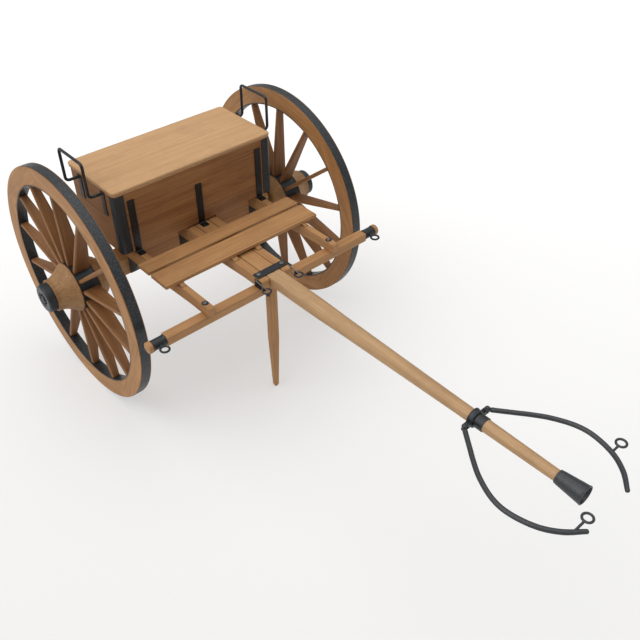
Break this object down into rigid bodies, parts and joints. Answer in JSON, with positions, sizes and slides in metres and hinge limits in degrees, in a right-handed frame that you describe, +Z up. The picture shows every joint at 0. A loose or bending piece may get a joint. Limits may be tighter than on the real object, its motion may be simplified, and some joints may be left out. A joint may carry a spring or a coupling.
{
  "type": "horse-drawn limber",
  "caption": "Two-wheeled horse-drawn limber: wooden chest on a timber frame with spoked wheels, footboards, splinter bar, long pole, pole prop and hinged yoke.",
  "frame": {"origin": "on the ground under the middle of the whole object's bounding box, which is on the centre line between the wheels", "axes": "+X forward along the pole, +Y to the driver's left along the axle, +Z up"},
  "size_m": [3.705, 1.984, 1.4774],
  "materials": {
    "wood": "planed hardwood, oiled, satin",
    "chest_wood": "planed boards, oiled, satin",
    "iron": "forged, blackened, satin",
    "tyre_iron": "rolled hoop, blackened, worn satin"
  },
  "bodies": {
    "limber": {"axle_bed": "wood", "axle_nut_left": "iron", "axle_nut_right": "iron", "axletree": "iron", "bail_left": "iron", "bail_right": "iron", "batten_left": "wood", "batten_right": "wood", "chest_floor": "chest_wood", "chest_walls": "chest_wood", "corner_iron_left": "iron", "corner_iron_right": "iron", "footboard_front": "wood", "footboard_rear": "wood", "fork_left": "wood", "fork_right": "wood", "fork_strap": "iron", "hinge_fixed": "iron", "hound_left": "wood", "hound_right": "wood", "knee_fork": "iron", "knee_left": "iron", "knee_right": "iron", "pintle_hook": "iron", "pole": "wood", "pole_cap": "iron", "prop_bracket": "iron", "splinter_bar": "wood", "stay_left": "iron", "stay_middle": "iron", "stay_right": "iron", "stop_collar": "iron", "trace_hook_left": "iron", "trace_hook_right": "iron", "trace_sleeve_left": "iron", "trace_sleeve_right": "iron"},
    "wheel_left": {"tyre_left": "tyre_iron", "felloes_left": "wood", "rim_lining_left": "tyre_iron", "spokes_left": "wood", "nave_inner_left": "wood", "nave_band_left": "iron", "nave_outer_left": "wood", "nave_cap_left": "iron"},
    "wheel_right": {"tyre_right": "tyre_iron", "felloes_right": "wood", "rim_lining_right": "tyre_iron", "spokes_right": "wood", "nave_inner_right": "wood", "nave_band_right": "iron", "nave_outer_right": "wood", "nave_cap_right": "iron"},
    "lid": {"chest_lid": "chest_wood", "hinge_lid": "iron"},
    "prop": {"prop": "wood"},
    "yoke": {"yoke_collar": "iron"},
    "yoke_arm_left": {"yoke_arm_left": "iron"},
    "yoke_arm_right": {"yoke_arm_right": "iron"},
    "hook_ring_left": {"hook_ring_left": "iron"},
    "hook_ring_right": {"hook_ring_right": "iron"}
  },
  "joints": [
    {"name": "wheel_left_spin", "type": "hinge", "parent": "limber", "child": "wheel_left", "pos_m": [-1.12853, 0.781, 0.724], "axis": [0, 1, 0], "continuous": true},
    {"name": "wheel_right_spin", "type": "hinge", "parent": "limber", "child": "wheel_right", "pos_m": [-1.12853, -0.781, 0.724], "axis": [0, 1, 0], "continuous": true},
    {"name": "lid_hinge", "type": "hinge", "parent": "limber", "child": "lid", "pos_m": [-1.44553, 0, 1.287], "axis": [0, -1, 0], "range_deg": [0, 100]},
    {"name": "prop_fold", "type": "hinge", "parent": "limber", "child": "prop", "pos_m": [-0.29803, 0, 0.738], "axis": [0, 1, 0], "range_deg": [0, 80]},
    {"name": "yoke_roll", "type": "hinge", "parent": "limber", "child": "yoke", "pos_m": [1.16147, 0, 0.86337], "axis": [1, 0, -0.0042], "range_deg": [-25, 25]},
    {"name": "yoke_arm_left_swing", "type": "hinge", "parent": "yoke", "child": "yoke_arm_left", "pos_m": [1.16597, 0.082, 0.864], "axis": [0, 0, 1], "range_deg": [-4, 40]},
    {"name": "yoke_arm_right_swing", "type": "hinge", "parent": "yoke", "child": "yoke_arm_right", "pos_m": [1.16597, -0.082, 0.864], "axis": [0, 0, -1], "range_deg": [-4, 40]},
    {"name": "hook_ring_left_swing", "type": "hinge", "parent": "limber", "child": "hook_ring_left", "pos_m": [-0.21053, 0.114, 0.87], "axis": [0, 1, 0], "range_deg": [-60, 95]},
    {"name": "hook_ring_right_swing", "type": "hinge", "parent": "limber", "child": "hook_ring_right", "pos_m": [-0.21053, -0.114, 0.87], "axis": [0, 1, 0], "range_deg": [-60, 95]}
  ]
}
